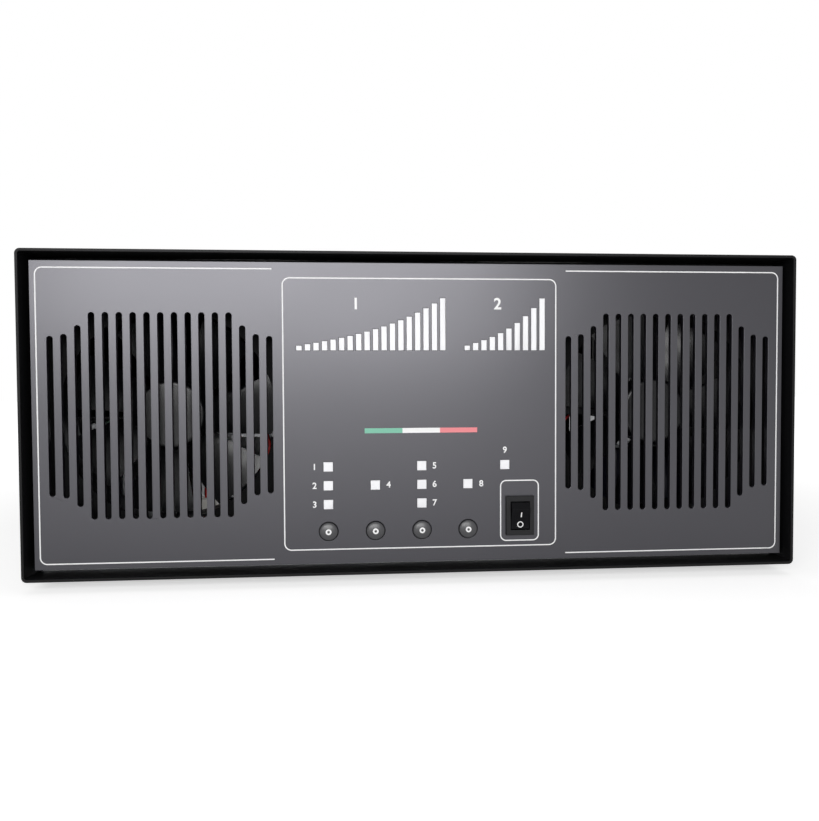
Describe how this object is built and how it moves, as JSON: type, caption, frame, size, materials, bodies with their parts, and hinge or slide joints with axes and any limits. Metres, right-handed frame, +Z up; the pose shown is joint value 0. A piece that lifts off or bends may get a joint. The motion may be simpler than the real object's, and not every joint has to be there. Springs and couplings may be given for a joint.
{
  "type": "hf linear amplifier",
  "caption": "Wide sleeve-cased radio power amplifier: slotted grilles with fans behind, bar meters, status windows, push buttons and a rocker switch.",
  "frame": {"origin": "centre of the outer box, on the surface that the feet stand on", "axes": "+X to the right seen from the front, +Y to the back, +Z up; the front panel faces -Y"},
  "size_m": [0.4176, 0.354, 0.177],
  "materials": {
    "case_paint": "satin",
    "chassis_black": "matte",
    "panel_paint": "satin",
    "sheet_metal": "mill",
    "screw_black": "satin",
    "screw_steel": "zinc plated",
    "foot_rubber": "matte",
    "meter_window": "milky",
    "button_grey": "satin",
    "switch_black": "gloss",
    "contact_brass": "bright",
    "board_green": "solder mask",
    "chip_black": "matte",
    "led_clear": "clear",
    "spacer_metal": "turned",
    "fan_black": "matte",
    "fan_gloss": "gloss",
    "winding_copper": "enamelled wire",
    "sink_aluminium": "extruded",
    "ceramic_cap": "matte",
    "ferrite": "matte",
    "plug_white": "matte",
    "relay_blue": "gloss",
    "can_black": "sleeved",
    "tape_yellow": "taped",
    "connector_nickel": "nickel plated",
    "lead_red": "soft",
    "lead_black": "soft",
    "lead_brown": "soft",
    "insulator_white": "matte",
    "insulator_black": "matte"
  },
  "bodies": {
    "chassis": {"case_sleeve": "case_paint", "chassis_pan": "sheet_metal", "front_bulkhead": "chassis_black", "chassis_rails": "sheet_metal", "case_screws": "screw_black", "rubber_feet": "foot_rubber", "foot_screws": "screw_steel", "front_panel": "panel_paint", "power_meter_lens": "meter_window", "swr_meter_lens": "meter_window", "status_lens": "meter_window", "rocker_housing": "switch_black", "switch_terminals": "contact_brass", "control_board": "board_green", "board_posts": "contact_brass", "key_switches": "chip_black", "board_leds": "led_clear", "panel_spacers": "spacer_metal", "left_fan_frame": "fan_black", "right_fan_frame": "fan_black", "fan_stators": "winding_copper", "fan_screws": "screw_steel", "pa_heatsink": "sink_aluminium", "pa_board": "board_green", "power_transistors": "ceramic_cap", "output_transformer": "ferrite", "input_transformer": "ferrite", "white_plugs": "plug_white", "filter_board": "board_green", "supply_board": "board_green", "inner_posts": "contact_brass", "filter_coils": "winding_copper", "filter_relays": "relay_blue", "supply_capacitors": "can_black", "supply_transformer": "tape_yellow", "supply_choke": "winding_copper", "supply_coolers": "sink_aluminium", "rear_panel": "chassis_black", "rf_sockets": "connector_nickel", "rf_insulators": "insulator_white", "rf_contacts": "contact_brass", "phono_jacks": "connector_nickel", "jack_insulators": "insulator_black", "mains_inlet": "switch_black", "inlet_contacts": "contact_brass", "fuse_holder": "switch_black", "earth_stud": "screw_steel", "earth_nuts": "screw_steel", "rear_screws": "screw_steel", "fan_leads": "lead_red", "coax_leads": "lead_black", "mains_leads": "lead_brown", "supply_leads": "lead_red"},
    "operate_button": {"operate_button": "button_grey"},
    "mode_button": {"mode_button": "button_grey"},
    "level_button": {"level_button": "button_grey"},
    "preamp_button": {"preamp_button": "button_grey"},
    "power_rocker": {"power_rocker": "switch_black"},
    "left_rotor": {"left_fan_rotor": "fan_gloss"},
    "right_rotor": {"right_fan_rotor": "fan_gloss"}
  },
  "joints": [
    {"name": "operate_push", "type": "slide", "parent": "chassis", "child": "operate_button", "axis": [0, 1, 0], "range_m": [0, 0.0008], "stiffness_N_per_m": 300, "springref_m": -0.0005},
    {"name": "mode_push", "type": "slide", "parent": "chassis", "child": "mode_button", "axis": [0, 1, 0], "range_m": [0, 0.0008], "stiffness_N_per_m": 300, "springref_m": -0.0005},
    {"name": "level_push", "type": "slide", "parent": "chassis", "child": "level_button", "axis": [0, 1, 0], "range_m": [0, 0.0008], "stiffness_N_per_m": 300, "springref_m": -0.0005},
    {"name": "preamp_push", "type": "slide", "parent": "chassis", "child": "preamp_button", "axis": [0, 1, 0], "range_m": [0, 0.0008], "stiffness_N_per_m": 300, "springref_m": -0.0005},
    {"name": "power_rocker_tilt", "type": "hinge", "parent": "chassis", "child": "power_rocker", "pos_m": [0.0535, -0.169, 0.0354], "axis": [1, 0, 0], "range_deg": [-30, 0]},
    {"name": "left_fan_spin", "type": "hinge", "parent": "chassis", "child": "left_rotor", "pos_m": [-0.1366, -0.1555, 0.0912], "axis": [0, 1, 0], "continuous": true},
    {"name": "right_fan_spin", "type": "hinge", "parent": "chassis", "child": "right_rotor", "pos_m": [0.1366, -0.1555, 0.0912], "axis": [0, 1, 0], "continuous": true}
  ]
}
